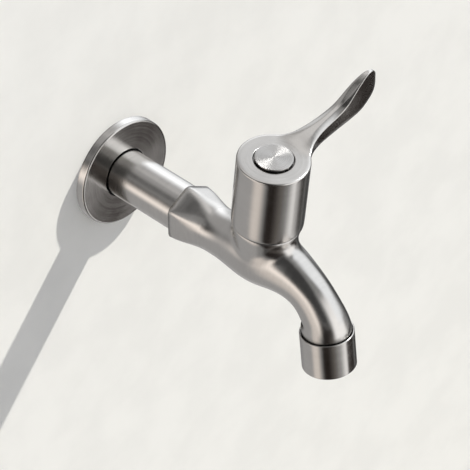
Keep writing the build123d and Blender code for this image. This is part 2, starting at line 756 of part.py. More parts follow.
with BuildPart() as spline_insert:
    with BuildSketch(valve_cross(insert_bottom)):
        RegularPolygon(insert_apothem - insert_clearance, 6, major_radius=False)
        Circle(spline_root_radius + insert_tooth_clearance, mode=Mode.SUBTRACT)
        with PolarLocations(spline_root_radius, spline_teeth):
            slot_depth = 2 * (spline_tooth_depth + insert_tooth_clearance)
            slot_width = tooth_width + 2 * insert_tooth_clearance
            Rectangle(slot_depth, slot_width, mode=Mode.SUBTRACT)
    extrude(amount=insert_top - insert_bottom)
spline_insert.part.label = "spline_insert"
export_step(spline_insert.part, "parts/spline_insert.step")

with BuildPart() as screw_washer:
    revolve(
        collar(valve_side, screw_radius + washer_clearance, screw_head_radius, web_top, head_bottom), axis=valve_axis
    )
    with BuildSketch(valve_cross(web_top)):
        with Locations((screw_head_radius, 0)):
            Rectangle(2 * screw_head_radius, washer_split)
    extrude(amount=washer_thickness, mode=Mode.SUBTRACT)
screw_washer.part.label = "screw_washer"
export_step(screw_washer.part, "parts/screw_washer.step")

with BuildPart() as handle_screw:
    shank_radius = screw_radius - screw_clearance
    shank_bottom = spline_top - screw_depth + screw_tip_gap
    head_edge_in, head_edge_down = screw_head_chamfer
    outline = [(0, shank_bottom), (shank_radius - screw_tip_chamfer, shank_bottom)]
    outline += [(shank_radius, shank_bottom + screw_tip_chamfer), (shank_radius, head_bottom)]
    outline += [(screw_head_radius, head_bottom), (screw_head_radius, head_top - head_edge_down)]
    outline += [(screw_head_radius - head_edge_in, head_top), (0, head_top)]
    revolve(turned(valve_side, outline), axis=valve_axis)
    with BuildSketch(valve_cross(head_top - screw_socket_depth)):
        RegularPolygon(screw_socket_across_flats / 2, 6, major_radius=False)
    extrude(amount=screw_socket_depth, mode=Mode.SUBTRACT)
handle_screw.part.label = "handle_screw"
export_step(handle_screw.part, "parts/handle_screw.step")

# Cap: a turned button with a skirt, and its retaining ring
cap_ring_height = recess_floor - cap_ring_drop
cap_ring_radius = cap_bore_radius - cap_ring_section / 2
with BuildPart() as handle_cap:
    skirt_bottom = recess_floor - cap_skirt_depth
    skirt_inner = cap_skirt_radius - cap_skirt_wall
    groove_bottom = cap_ring_radius - cap_ring_section / 2
    groove_top = cap_ring_height + cap_ring_section / 2
    groove_floor = cap_ring_height - cap_ring_section / 2
    outline = [(0, cap_top), (cap_radius - cap_edge, cap_top - cap_crown_drop), (cap_radius, cap_top - cap_edge_drop)]
    outline += [(cap_radius, recess_floor), (cap_skirt_radius, recess_floor), (cap_skirt_radius, groove_top)]
    outline += [(groove_bottom, groove_top), (groove_bottom, groove_floor), (cap_skirt_radius, groove_floor)]
    outline += [(cap_skirt_radius, skirt_bottom), (skirt_inner, skirt_bottom)]
    outline += [(skirt_inner, cap_top - cap_thickness), (0, cap_top - cap_thickness)]
    revolve(turned(valve_side, outline), axis=valve_axis)
handle_cap.part.label = "handle_cap"
export_step(handle_cap.part, "parts/handle_cap.step")

with BuildPart() as cap_o_ring:
    revolve(round_section(valve_side, cap_ring_radius, cap_ring_height, cap_ring_section), axis=valve_axis)
cap_o_ring.part.label = "cap_o_ring"
export_step(cap_o_ring.part, "parts/cap_o_ring.step")

# Aerator: shell, sealing washer, cage, diffuser and outlet screen
with BuildPart() as aerator_shell:
    mouth_radius = aerator_radius - aerator_mouth_lip
    outline = [(mouth_radius, aerator_gap), (aerator_radius - aerator_rim_chamfer, aerator_gap)]
    outline += [(aerator_radius, aerator_gap + aerator_rim_chamfer)]
    outline += [(aerator_radius, aerator_height - aerator_edge_round)]
    outline += [(aerator_radius - aerator_edge_round, aerator_height), (aerator_lip_radius, aerator_height)]
    outline += [(aerator_lip_radius, lip_top), (aerator_bore_radius, lip_top), (aerator_bore_radius, washer_bottom)]
    outline += [(outlet_thread_radius, washer_bottom), (outlet_thread_radius, outlet_thread_start)]
    outline += [(mouth_radius, outlet_thread_start)]
    revolve(turned(outlet_side, outline), axis=outlet_axis)
aerator_shell.part.label = "aerator_shell"
export_step(aerator_shell.part, "parts/aerator_shell.step")

with BuildPart() as aerator_washer:
    washer_outer = outlet_thread_radius - aerator_washer_clearance
    revolve(collar(outlet_side, spout_mouth_radius, washer_outer, spout_tip, washer_bottom), axis=outlet_axis)
aerator_washer.part.label = "aerator_washer"
export_step(aerator_washer.part, "parts/aerator_washer.step")

with BuildPart() as aerator_cage:
    cage_mouth_radius = spout_mouth_radius + cage_mouth_setback
    outline = [(cage_mouth_radius, washer_bottom), (aerator_cage_radius, washer_bottom)]
    outline += [(aerator_cage_radius, screen_top), (cage_inner_radius, screen_top)]
    outline += [(cage_inner_radius, diffuser_top), (cage_mouth_radius, diffuser_top)]
    revolve(turned(outlet_side, outline), axis=outlet_axis)
aerator_cage.part.label = "aerator_cage"
export_step(aerator_cage.part, "parts/aerator_cage.step")

with BuildPart() as aerator_diffuser:
    with BuildSketch(outlet_cross(diffuser_top)):
        Circle(cage_inner_radius - diffuser_clearance)
        for circle_radius, holes in diffuser_circles:
            with PolarLocations(circle_radius, holes):
                Circle(diffuser_hole_radius, mode=Mode.SUBTRACT)
    extrude(amount=diffuser_thickness)
aerator_diffuser.part.label = "aerator_diffuser"
export_step(aerator_diffuser.part, "parts/aerator_diffuser.step")

with BuildPart() as aerator_screen:
    with BuildSketch(outlet_cross(screen_top)):
        Circle(aerator_cage_radius)
        with HexLocations(screen_hole_pitch / 2, screen_row_count, screen_row_count, major_radius=False) as grid:
            places = [place.position for place in grid.local_locations]
        reach = aerator_lip_radius - screen_margin - screen_hole_pitch / 2
        with Locations(*[place for place in places if place.length < reach]):
            RegularPolygon((screen_hole_pitch - screen_bar) / 2, 6, major_radius=False, rotation=30, mode=Mode.SUBTRACT)
    extrude(amount=screen_thickness)
aerator_screen.part.label = "aerator_screen"
export_step(aerator_screen.part, "parts/aerator_screen.step")
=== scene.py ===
# %% [markdown]
# # Dressing a brushed steel wall tap
# The solids of the tap arrive as a fixed frame: every node sits at its place, in metres, with the wall at
# y = 0, the pipe running out along -Y and Z up. This lesson gives them their finishes, models again the
# pieces whose shape a mesh can show better, and sets the camera, the wall and the light.

# %% Load the frame
from math import radians, degrees, sin, cos, atan2, pi

import bmesh
import bpy
from mathutils import Matrix, Vector


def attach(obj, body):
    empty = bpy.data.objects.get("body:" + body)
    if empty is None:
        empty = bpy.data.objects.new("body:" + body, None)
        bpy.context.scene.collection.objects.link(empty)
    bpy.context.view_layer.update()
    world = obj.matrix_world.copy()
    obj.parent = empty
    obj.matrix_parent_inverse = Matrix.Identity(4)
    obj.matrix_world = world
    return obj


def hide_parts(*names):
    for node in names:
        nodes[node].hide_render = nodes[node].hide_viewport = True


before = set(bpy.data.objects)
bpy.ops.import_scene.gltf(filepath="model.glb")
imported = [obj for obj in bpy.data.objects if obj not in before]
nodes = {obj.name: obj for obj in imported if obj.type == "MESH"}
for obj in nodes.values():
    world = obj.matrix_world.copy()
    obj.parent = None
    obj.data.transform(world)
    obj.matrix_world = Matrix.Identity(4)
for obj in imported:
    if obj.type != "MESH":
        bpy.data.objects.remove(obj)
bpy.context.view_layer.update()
mm = 0.001

# %% [markdown]
# ## Camera
# The picture was taken from the left, above and a little in front, with a long lens. A camera could be
# placed by eye and nudged. It is steadier to write where it stands as an azimuth, an elevation and a small
# roll about its own line of sight, and to build its three directions from these. The numbers come from a fit
# to the round edges in the picture, so they have many digits.


# %% Camera
def towards(azimuth, elevation):
    """The direction at this azimuth, counted from -Y towards +X, and this elevation."""
    return Vector((sin(azimuth) * cos(elevation), -cos(azimuth) * cos(elevation), sin(elevation)))


view_azimuth, view_elevation, view_roll = radians(-44.4414), radians(39.1743), radians(-1.0146)
view_distance = 1.32732
focal_in_pixels = 3061.67
picture_width = 470
sensor_width = 36.0
look_at = Vector((0, -0.080, 0))
look_at_pixel = (245.1754, 246.6163)

back = towards(view_azimuth, view_elevation)
level_right = Vector((cos(view_azimuth), sin(view_azimuth), 0))
level_up = back.cross(level_right)
right = level_right * cos(view_roll) + level_up * sin(view_roll)
up = level_up * cos(view_roll) - level_right * sin(view_roll)
aside, below = [(pixel - picture_width / 2) / focal_in_pixels * view_distance for pixel in look_at_pixel]
camera_place = look_at + back * view_distance - right * aside + up * below

camera_data = bpy.data.cameras.new("camera")
camera_data.sensor_width = sensor_width
camera_data.lens = focal_in_pixels / picture_width * sensor_width
camera_data.clip_start, camera_data.clip_end = 0.05, 20
camera = bpy.data.objects.new("camera", camera_data)
bpy.context.scene.collection.objects.link(camera)
camera.matrix_world = Matrix.Translation(camera_place) @ Matrix((right, up, back)).transposed().to_4x4()
bpy.context.scene.camera = camera
print("camera at", [round(v, 4) for v in camera_place], "lens", round(camera_data.lens, 1))

# %% [markdown]
# ## Axes of the tap
# Three round groups of pieces are turned on their own lines: the pipe's, the valve's and the outlet's.
# Each line is a point and the turn about X that brings local Z onto it. Finishes and new pieces use them.

# %% Axes
axes = {
    "pipe": (Vector((0, 0, 0)), radians(90)),
    "valve": (Vector((0, -0.091, 0)), radians(6.8)),
    "outlet": (Vector((0, -0.1289, -0.0181)), radians(180 - 5.4)),
}


def axis_direction(name):
    turn = axes[name][1]
    return Vector((0, -sin(turn), cos(turn)))


for name in axes:
    print(name, "axis runs along", [round(v, 3) for v in axis_direction(name)])

# %% [markdown]
# ## Small helpers for node trees
# A material is a tree of nodes. These helpers add a node with its values and join two sockets, so that each
# finish below reads as a short list of what happens to the surface.


# %% Node helpers
def add(tree, kind, place=(0, 0), **values):
    """Adds a node; a value goes to the node's own setting, or to the input of that name."""
    node = tree.nodes.new(kind)
    node.location = place
    for name, value in values.items():
        if hasattr(node, name):
            setattr(node, name, value)
        else:
            node.inputs[name.replace("_", " ").title()].default_value = value
    return node


def feed(tree, sockets, items):
    """Each socket gets its item: a value, or a link from another socket. None leaves a socket alone."""
    for socket, item in zip(sockets, items):
        if isinstance(item, bpy.types.NodeSocket):
            tree.links.new(item, socket)
        elif item is not None:
            socket.default_value = item


def math(tree, operation, a, b=None, c=None, clamp=False):
    """One Math node."""
    node = tree.nodes.new("ShaderNodeMath")
    node.operation = operation
    node.use_clamp = clamp
    feed(tree, node.inputs, (a, b, c))
    return node.outputs[0]


def smooth_step(tree, value, low, high, start=0.0, end=1.0):
    """Maps value from low..high to start..end along a smooth curve."""
    node = add(tree, "ShaderNodeMapRange", interpolation_type="SMOOTHSTEP")
    feed(tree, node.inputs, (value, low, high, start, end))
    return node.outputs[0]


def mix_colour(tree, share, first, second, place=(0, 0)):
    """The first colour where share is 0, the second where it is 1."""
    node = add(tree, "ShaderNodeMix", place, data_type="RGBA")
    share_socket, first_socket, second_socket = node.inputs[0], node.inputs[6], node.inputs[7]
    feed(tree, (share_socket, first_socket, second_socket), (share, first, second))
    return node.outputs[2]


def new_group(name, inputs, outputs):
    """An empty shader group with its sockets: inputs and outputs are (name, kind, value) rows."""
    group = bpy.data.node_groups.new(name, "ShaderNodeTree")
    for in_out, rows in (("INPUT", inputs), ("OUTPUT", outputs)):
        for socket_name, kind, value in rows:
            socket = group.interface.new_socket(
                socket_name, in_out=in_out, socket_type="NodeSocket" + kind
            )
            if value is not None:
                socket.default_value = value
    entry = group.nodes.new("NodeGroupInput")
    exit_node = group.nodes.new("NodeGroupOutput")
    return group, entry.outputs, exit_node.inputs


def new_material(name):
    """An empty material, with its tree and its shader."""
    material = bpy.data.materials.new(name)
    material.use_nodes = True
    return material, material.node_tree, material.node_tree.nodes["Principled BSDF"]


# %% [markdown]
# ## Brushed grain
# Polishing leaves fine scratches that all run one way, on turned pieces round the axis. Stretched noise gives
# them: along a scratch the noise hardly changes, across it it changes fast. The group takes a position that
# a Mapping node has already turned to the piece's axis. It gives the fine lines as a height, wider streaks
# of the same kind, and slow clouds.

# %% Group for turned grain, round local Z
drift_round_a_ring = 2.5   # how far the noise moves on from one side of a ring to the other
streak_scale = 0.22        # against 1 for the fine lines, so the streaks are wider
clouds_per_metre = 90.0

turned_grain, grain_in, grain_out = new_group(
    "turned_grain",
    [("Vector", "Vector", None), ("Lines per mm", "Float", 6.0)],
    [("Height", "Float", None), ("Streaks", "Float", None), ("Clouds", "Float", None)],
)
tree = turned_grain
parts = add(tree, "ShaderNodeSeparateXYZ")
tree.links.new(grain_in["Vector"], parts.inputs[0])
x, y, z = parts.outputs
radius = math(tree, "SQRT", math(tree, "ADD", math(tree, "MULTIPLY", x, x), math(tree, "MULTIPLY", y, y)))
angle = math(tree, "ARCTAN2", y, x)
lines = math(tree, "MULTIPLY", grain_in["Lines per mm"], 1 / mm)
across = add(tree, "ShaderNodeCombineXYZ")
feed(tree, across.inputs, (
    math(tree, "MULTIPLY", radius, lines),
    math(tree, "MULTIPLY", z, lines),
    math(tree, "MULTIPLY", math(tree, "SINE", angle), drift_round_a_ring),
))
fine = add(tree, "ShaderNodeTexNoise", scale=1.0, detail=2.0, roughness=0.6)
tree.links.new(across.outputs[0], fine.inputs["Vector"])
coarse_place = add(tree, "ShaderNodeVectorMath", operation="SCALE", scale=streak_scale)
tree.links.new(across.outputs[0], coarse_place.inputs[0])
coarse = add(tree, "ShaderNodeTexNoise", scale=1.0, detail=2.0, roughness=0.5)
tree.links.new(coarse_place.outputs[0], coarse.inputs["Vector"])
cloud = add(tree, "ShaderNodeTexNoise", scale=clouds_per_metre, detail=3.0, roughness=0.55)
tree.links.new(grain_in["Vector"], cloud.inputs["Vector"])
feed(tree, grain_out, (fine.outputs["Fac"], coarse.outputs["Fac"], cloud.outputs["Fac"]))
print("group", turned_grain.name, "with", len(turned_grain.nodes), "nodes")

# %% [markdown]
# ## Stainless steel
# The tap is stainless steel with a satin finish: a bare metal with a faintly warm grey, a middling roughness
# that the grain stretches, and slow clouds where the cloth pressed more or less. The stretch is the shader's
# anisotropy. It needs the direction of the grain, which for a turned piece is the axis crossed with the way
# out to the point, so the highlight fans out on flat rings and runs lengthwise on cylinders, as on the tap.
# In the narrow gaps between two pieces the steel's colour is darkened: this is painted shade, and ambient
# occlusion finds every such gap by itself.


# %% Directions on a turned piece
def object_place(tree, axis_name):
    """Object coordinates, and the same with local Z on the named axis."""
    point, turn = axes[axis_name]
    coordinates = add(tree, "ShaderNodeTexCoord", (-1400, 0))
    mapping = add(tree, "ShaderNodeMapping", (-1200, 0), vector_type="TEXTURE")
    mapping.inputs["Location"].default_value = point
    mapping.inputs["Rotation"].default_value = (turn, 0, 0)
    tree.links.new(coordinates.outputs["Object"], mapping.inputs["Vector"])
    return coordinates.outputs["Object"], mapping.outputs["Vector"]


def round_the_axis(tree, place, axis_name):
    """The direction that runs round the axis at each point, in world space."""
    point, _ = axes[axis_name]
    out = add(tree, "ShaderNodeVectorMath", (-1000, -400), operation="SUBTRACT")
    feed(tree, out.inputs, (place, point))
    cross = add(tree, "ShaderNodeVectorMath", (-800, -400), operation="CROSS_PRODUCT")
    feed(tree, cross.inputs, (axis_direction(axis_name), out.outputs[0]))
    turn = add(tree, "ShaderNodeVectorTransform", (-600, -400), vector_type="VECTOR",
               convert_from="OBJECT", convert_to="WORLD")
    tree.links.new(cross.outputs[0], turn.inputs[0])
    return turn.outputs[0]


# %% Brushed metal
steel_light = (0.77, 0.75, 0.72, 1)
steel_dark = (0.61, 0.59, 0.565, 1)
# painted shade for narrow gaps: its colour, and how far ambient occlusion looks for a gap
painted_gap_shade = (0.03, 0.028, 0.026, 1)
gap_shade_reach = 1.8 * mm
gap_shade_full, gap_shade_none = 0.15, 0.75        # shares of open space at which the painted shade is full, and gone
streak_share, cloud_share = 0.6, 0.5   # how much streaks and clouds lighten the steel
roughness_swing = 0.1                  # and how much they change its roughness
quarter_turn = 0.25


def turned_metal(name, axis_name, roughness=0.2, stretch=0.5, grain=0.02, lines=6.0, light=steel_light,
                 dark=steel_dark, edge=0.3 * mm):
    """Brushed metal whose scratches run round the named axis, with its edges eased by the polishing, and
    painted shade in its narrow gaps.
    """
    material, tree, shader = new_material(name)
    shader.inputs["Metallic"].default_value = 1.0
    shader.inputs["Anisotropic"].default_value = stretch
    shader.inputs["Anisotropic Rotation"].default_value = quarter_turn
    place, local = object_place(tree, axis_name)
    tree.links.new(round_the_axis(tree, place, axis_name), shader.inputs["Tangent"])
    group = add(tree, "ShaderNodeGroup", (-900, 0), node_tree=turned_grain)
    group.inputs["Lines per mm"].default_value = lines
    tree.links.new(local, group.inputs["Vector"])
    height, streaks, clouds = group.outputs
    shade = math(tree, "ADD", math(tree, "MULTIPLY", streaks, streak_share),
                 math(tree, "MULTIPLY", clouds, cloud_share), clamp=True)
    # painted shade: ambient occlusion darkens the steel's colour in narrow gaps between pieces
    openness = add(tree, "ShaderNodeAmbientOcclusion", (-700, 500), samples=8, distance=gap_shade_reach)
    unshaded = smooth_step(tree, openness.outputs["AO"], gap_shade_full, gap_shade_none)
    brushed = mix_colour(tree, shade, dark, light, (-400, 200))
    tree.links.new(mix_colour(tree, unshaded, painted_gap_shade, brushed, (-200, 300)), shader.inputs["Base Color"])
    spread = math(tree, "SUBTRACT", math(tree, "ADD", streaks, clouds), 1.0)
    rough = math(tree, "ADD", math(tree, "MULTIPLY", spread, roughness_swing), roughness)
    tree.links.new(rough, shader.inputs["Roughness"])
    bump = add(tree, "ShaderNodeBump", (-300, -200), strength=grain, distance=0.2 * mm)
    eased = add(tree, "ShaderNodeBevel", (-500, -300), samples=8, radius=edge)
    tree.links.new(height, bump.inputs["Height"])
    tree.links.new(eased.outputs["Normal"], bump.inputs["Normal"])
    tree.links.new(bump.outputs["Normal"], shader.inputs["Normal"])
    return material


# %% [markdown]
# The pieces differ in how hard they were brushed. The cap and the cover plate are faced on a lathe, so their
# rings stretch the highlight most. The casting is polished by hand in every direction: its stretch is weak,
# and wide eased edges carry its highlights softly over collar and boss.

# %% Steels
steel_cup = turned_metal("satin_steel_cup", "valve", roughness=0.19, stretch=0.35, edge=0.6 * mm)
# painted shade: the cap's colours are darker than the other steel's, which dims its turned face
steel_cap = turned_metal("turned_steel_cap", "valve", roughness=0.27, stretch=0.93, grain=0.0015,
                         light=(0.61, 0.595, 0.575, 1), dark=(0.49, 0.475, 0.455, 1))
steel_plate = turned_metal("turned_steel_plate", "pipe", roughness=0.17, stretch=0.8)
steel_pipe = turned_metal("satin_steel_pipe", "pipe", stretch=0.4)
steel_outlet = turned_metal("satin_steel_outlet", "outlet", roughness=0.19, stretch=0.35)
steel_body = turned_metal("satin_steel_body", "pipe", roughness=0.19, stretch=0.1, edge=4 * mm)
print("steel materials", [m.name for m in bpy.data.materials if "steel" in m.name])

# %% [markdown]
# ## Inner pieces
# Under the cup sits a brass headwork with ceramic discs, and rubber rings seal every joint. Most of it never
# shows, but somebody may take the tap apart, so each piece gets the finish of its stuff. Brass and spring
# steel are turned metal in other colours. Rubber, foam, ceramic and moulded plastic share one group: a fine
# grain, slow clouds and small pits, and each of them uses these more or less.

# %% Brass and spring steel
turned_brass = turned_metal("turned_brass", "valve", roughness=0.28, stretch=0.4, grain=0.06, lines=2.5,
                            light=(0.82, 0.64, 0.34, 1), dark=(0.70, 0.52, 0.25, 1), edge=0.1 * mm)
spring_steel = turned_metal("spring_steel", "valve", roughness=0.3, stretch=0.2, grain=0.04, lines=8.0,
                            light=(0.50, 0.49, 0.48, 1), dark=(0.38, 0.37, 0.36, 1), edge=0.1 * mm)
print("turned metals", turned_brass.name, spring_steel.name)

# %% Group for grain, clouds and pits of soft and moulded pieces
pit_middle, pit_rim = 0.12, 0.4   # distances from a cell's point, in cells, between which a pit rises

moulded_skin, skin_in, skin_out = new_group(
    "moulded_skin",
    [("Vector", "Vector", None), ("Grain per mm", "Float", 4.0), ("Pits per mm", "Float", 1.0)],
    [("Grain", "Float", None), ("Clouds", "Float", None), ("Pits", "Float", None)],
)
tree = moulded_skin
grain_noise = add(tree, "ShaderNodeTexNoise", detail=3.0, roughness=0.6)
cloud_noise = add(tree, "ShaderNodeTexNoise", scale=180.0, detail=2.0, roughness=0.5)
pit_cells = add(tree, "ShaderNodeTexVoronoi", feature="F1")
for texture in (grain_noise, cloud_noise, pit_cells):
    tree.links.new(skin_in["Vector"], texture.inputs["Vector"])
for texture, density in ((grain_noise, "Grain per mm"), (pit_cells, "Pits per mm")):
    tree.links.new(math(tree, "MULTIPLY", skin_in[density], 1 / mm), texture.inputs["Scale"])
pits = smooth_step(tree, pit_cells.outputs["Distance"], pit_middle, pit_rim)
feed(tree, skin_out, (grain_noise.outputs["Fac"], cloud_noise.outputs["Fac"], pits))
print("group", moulded_skin.name, "with", len(moulded_skin.nodes), "nodes")


# %% Moulded finishes
skin_clouds, skin_grain = 0.7, 0.3   # how much clouds and grain lighten the colour
skin_swing = 0.25                    # and how much the grain changes the roughness


def moulded(name, light, dark, roughness, grain_per_mm, pits_per_mm, bump_strength, pit_depth=0.0, coat=0.0):
    """A non-metal finish: colour follows clouds and pits, roughness and height follow grain and pits."""
    material, tree, shader = new_material(name)
    shader.inputs["Coat Weight"].default_value = coat
    coordinates = add(tree, "ShaderNodeTexCoord", (-1200, 0))
    group = add(tree, "ShaderNodeGroup", (-1000, 0), node_tree=moulded_skin)
    feed(tree, group.inputs, (coordinates.outputs["Object"], grain_per_mm, pits_per_mm))
    grain, clouds, pits = group.outputs
    shade = math(tree, "ADD", math(tree, "MULTIPLY", clouds, skin_clouds),
                 math(tree, "MULTIPLY", grain, skin_grain))
    deep = math(tree, "MULTIPLY", math(tree, "SUBTRACT", 1.0, pits), pit_depth)
    lit = math(tree, "SUBTRACT", shade, deep, clamp=True)
    tree.links.new(mix_colour(tree, lit, (*dark, 1), (*light, 1), (-400, 200)), shader.inputs["Base Color"])
    spread = math(tree, "MULTIPLY", math(tree, "SUBTRACT", grain, 0.5), skin_swing)
    tree.links.new(math(tree, "ADD", spread, roughness, clamp=True), shader.inputs["Roughness"])
    bump = add(tree, "ShaderNodeBump", (-300, -200), strength=bump_strength, distance=0.1 * mm)
    tree.links.new(math(tree, "SUBTRACT", grain, deep), bump.inputs["Height"])
    tree.links.new(bump.outputs["Normal"], shader.inputs["Normal"])
    return material


# %% Rubber, foam, ceramic and plastics
black_rubber = moulded("black_rubber", light=(0.045, 0.045, 0.047), dark=(0.018, 0.018, 0.02), roughness=0.55,
                       grain_per_mm=5.0, pits_per_mm=1.5, bump_strength=0.15)
grey_foam = moulded("grey_foam", light=(0.26, 0.26, 0.27), dark=(0.13, 0.13, 0.14), roughness=0.9,
                    grain_per_mm=2.0, pits_per_mm=1.8, bump_strength=0.8, pit_depth=0.8)
white_ceramic = moulded("white_ceramic", light=(0.90, 0.89, 0.86), dark=(0.82, 0.81, 0.78), roughness=0.2,
                        grain_per_mm=9.0, pits_per_mm=2.0, bump_strength=0.03, coat=0.3)
white_plastic = moulded("white_plastic", light=(0.84, 0.84, 0.82), dark=(0.76, 0.76, 0.74), roughness=0.38,
                        grain_per_mm=3.0, pits_per_mm=1.0, bump_strength=0.06)
dark_plastic = moulded("dark_plastic", light=(0.075, 0.078, 0.082), dark=(0.045, 0.047, 0.05), roughness=0.42,
                       grain_per_mm=3.0, pits_per_mm=1.0, bump_strength=0.08)
print("moulded finishes", black_rubber.name, grey_foam.name, white_ceramic.name, white_plastic.name,
      dark_plastic.name)


# %% [markdown]
# ## Putting a finish on a node
# A node keeps its mesh. Its finish goes into its material slots.


# %% Give finishes
def give_finish(mesh, material):
    mesh.materials.clear()
    mesh.materials.append(material)
    for polygon in mesh.polygons:
        polygon.material_index = 0


finishes = {
    steel_cup: ("handle",),
    steel_cap: ("handle_cap",),
    steel_plate: ("wall_flange",),
    steel_pipe: ("inlet_pipe",),
    steel_body: ("tap_body",),
    steel_outlet: ("aerator_shell",),
    turned_brass: ("cartridge_body", "spindle"),
    spring_steel: ("spindle_clip", "screw_washer", "handle_screw"),
    black_rubber: ("pipe_o_ring", "flange_grip_ring", "cartridge_head_ring", "seat_seal", "spindle_o_rings",
                   "cap_o_ring", "aerator_washer"),
    grey_foam: ("flange_gasket",),
    white_ceramic: ("fixed_ceramic_disc", "moving_ceramic_disc"),
    white_plastic: ("glide_washer", "spline_insert", "aerator_cage", "aerator_diffuser"),
    dark_plastic: ("aerator_screen",),
}
for material, names in finishes.items():
    for name in names:
        give_finish(nodes[name].data, material)
    print(material.name, "on", ", ".join(names))
left_over = set(nodes) - {name for names in finishes.values() for name in names}
print("nodes without a finish", sorted(left_over))

# %% [markdown]
# ## Handle
# The cup over the valve and the lever are one casting. The cup's roof flows into the lever without a line: a
# soft ridge leaves the rim and runs along the lever, and beside it each slope ends in a crisp edge. The solid
# has the same sizes, but its flat faces meet the roof in creases. A surface could be sculpted over it; a
# subdivision cage is easier to steer. It starts as a disc, its rim is pulled down to the cup's wall, and a
# block of its side faces is pulled out, station by station, to the lever's tip.


# %% Edit helpers
def activate(piece):
    bpy.ops.object.select_all(action="DESELECT")
    piece.select_set(True)
    bpy.context.view_layer.objects.active = piece


def start_piece(name, add_primitive, **settings):
    """Adds a primitive as a piece of its own, with its place and turn left in its mesh."""
    bpy.ops.object.select_all(action="DESELECT")
    add_primitive(**settings)
    piece = bpy.context.active_object
    piece.name = name
    bpy.ops.object.transform_apply(location=True, rotation=True, scale=True)
    return piece


def pick(kind, wanted):
    """In edit mode, selects the VERT, EDGE or FACE items whose middle passes the test, and counts them."""
    bpy.ops.mesh.select_mode(type=kind)
    bpy.ops.mesh.select_all(action="DESELECT")
    mesh = bpy.context.active_object.data
    cage = bmesh.from_edit_mesh(mesh)
    count = 0
    for item in {"VERT": cage.verts, "EDGE": cage.edges, "FACE": cage.faces}[kind]:
        corners = [item] if kind == "VERT" else item.verts
        if wanted(sum((v.co for v in corners), Vector()) / len(corners)):
            item.select_set(True)
            count += 1
    cage.select_flush_mode()
    bmesh.update_edit_mesh(mesh)
    return count


def move(x=0.0, y=0.0, z=0.0):
    bpy.ops.transform.translate(value=(x, y, z))


def squeeze(x=1.0, y=1.0, z=1.0, about=(0, 0, 0)):
    bpy.ops.transform.resize(value=(x, y, z), center_override=about)


def pull(x=0.0, y=0.0, z=0.0):
    """Extrudes what is selected, and moves the new part."""
    bpy.ops.mesh.extrude_region_move(TRANSFORM_OT_translate={"value": (x, y, z)})


# %% Cup of the cage
cup_radius, cup_top = 15.88 * mm, 58.0 * mm
ring_count = 32
ring_radius = cup_radius * 3 / (2 + cos(2 * pi / ring_count))   # subdivision draws a ring in by this much
roof_insets = (1.7 * mm, 2.6 * mm)
wall_drops = (1.2, 3.2, 6.0, 12.0, 12.05, 0.5)   # mm from ring to ring, down to the cup's lower edge
draw_in, floor_inset = 0.98, 0.6 * mm            # these two round the lower edge only a little

lever_handle = start_piece("lever_handle", bpy.ops.mesh.primitive_circle_add, vertices=ring_count,
                           radius=ring_radius, fill_type="NGON", location=(0, 0, cup_top))
bpy.ops.object.mode_set(mode="EDIT")
bpy.ops.mesh.select_all(action="SELECT")
for inset in roof_insets:
    bpy.ops.mesh.inset(thickness=inset)
level = cup_top
for drop in wall_drops:
    pick("EDGE", lambda c: c.z < level + 0.01 * mm and c.xy.length > ring_radius - 0.3 * mm)
    bpy.ops.mesh.extrude_edges_move(TRANSFORM_OT_translate={"value": (0, 0, -drop * mm)})
    level -= drop * mm
squeeze(x=draw_in, y=draw_in)
bpy.ops.mesh.edge_face_add()
bpy.ops.mesh.inset(thickness=floor_inset)
face_count = len(bmesh.from_edit_mesh(lever_handle.data).faces)
print("cup cage down to", round(level / mm, 2), "mm, faces", face_count)

# %% Root of the lever: the rim rises towards +X
root_half = radians(34)


def at_root(c, low, high, near, far):
    """True for a place near the lever's root, between two heights and two distances from the axis."""
    return low < c.z / mm < high and near < c.xy.length / mm < far and abs(atan2(c.y, c.x)) < root_half


root_lifts = (
    # degrees to each side of +X, and the rise of the rim and of the roof's first ring in mm
    (0, 1.35, 0.95),
    (11.25, 1.2, 0.8),
    (22.5, 0.6, 0.35),
)
roof_heights = (57.9, 58.1)
rim, first_ring = (15.4, 17), (13, 15.4)      # each between two distances from the axis
block_heights, block_distances = (53.6, 60), (15.6, 17)
for angle, *lifts in root_lifts:
    for distances, lift in zip((rim, first_ring), lifts):
        pick("VERT", lambda c: at_root(c, *roof_heights, *distances)
             and abs(abs(degrees(atan2(c.y, c.x))) - angle) < 2)
        move(z=lift * mm)
block = pick("FACE", lambda c: at_root(c, *block_heights, *block_distances))
print("faces in the lever's block", block)


# %% Sections of the lever
def section_now():
    """The vertices that are selected, each with its index and its place."""
    cage = bmesh.from_edit_mesh(lever_handle.data)
    cage.verts.index_update()
    return [(v.index, v.co.copy()) for v in cage.verts if v.select]


def grab(indices):
    """In edit mode, selects these vertices only, and says where they are."""
    bpy.ops.mesh.select_mode(type="VERT")
    bpy.ops.mesh.select_all(action="DESELECT")
    cage = bmesh.from_edit_mesh(lever_handle.data)
    cage.verts.ensure_lookup_table()
    for index in indices:
        cage.verts[index].select_set(True)
    cage.select_flush_mode()
    bmesh.update_edit_mesh(lever_handle.data)
    return [cage.verts[index].co.copy() for index in indices]


rows_in_section, middle_column = 3, 3
selected = sorted(section_now(), key=lambda item: (round(item[1].y, 5), -item[1].z))
section = [
    [place for _, place in selected[start:start + rows_in_section]]
    for start in range(0, len(selected), rows_in_section)
]
print("the block's section has", len(section), "columns of", rows_in_section, "places, from the top down")

# %% [markdown]
# A station is one cross-section of the lever. The block is pulled out a little, flattened to one distance
# from the axis and moved to its reach. Then each pair of vertices, one on either side, goes to its width and
# height: a top row over ridge, slope and edge, a row just under it, and a bottom row at the foot.

# %% Shape of a station
first_pull = 3 * mm
slope_swell = 0.1       # the slope's middle stands this much over the straight line
under_edge = 0.9        # the second row lies this far under the edge
side_flare = 0.12       # the foot is wider than the edge by this share of the side's height


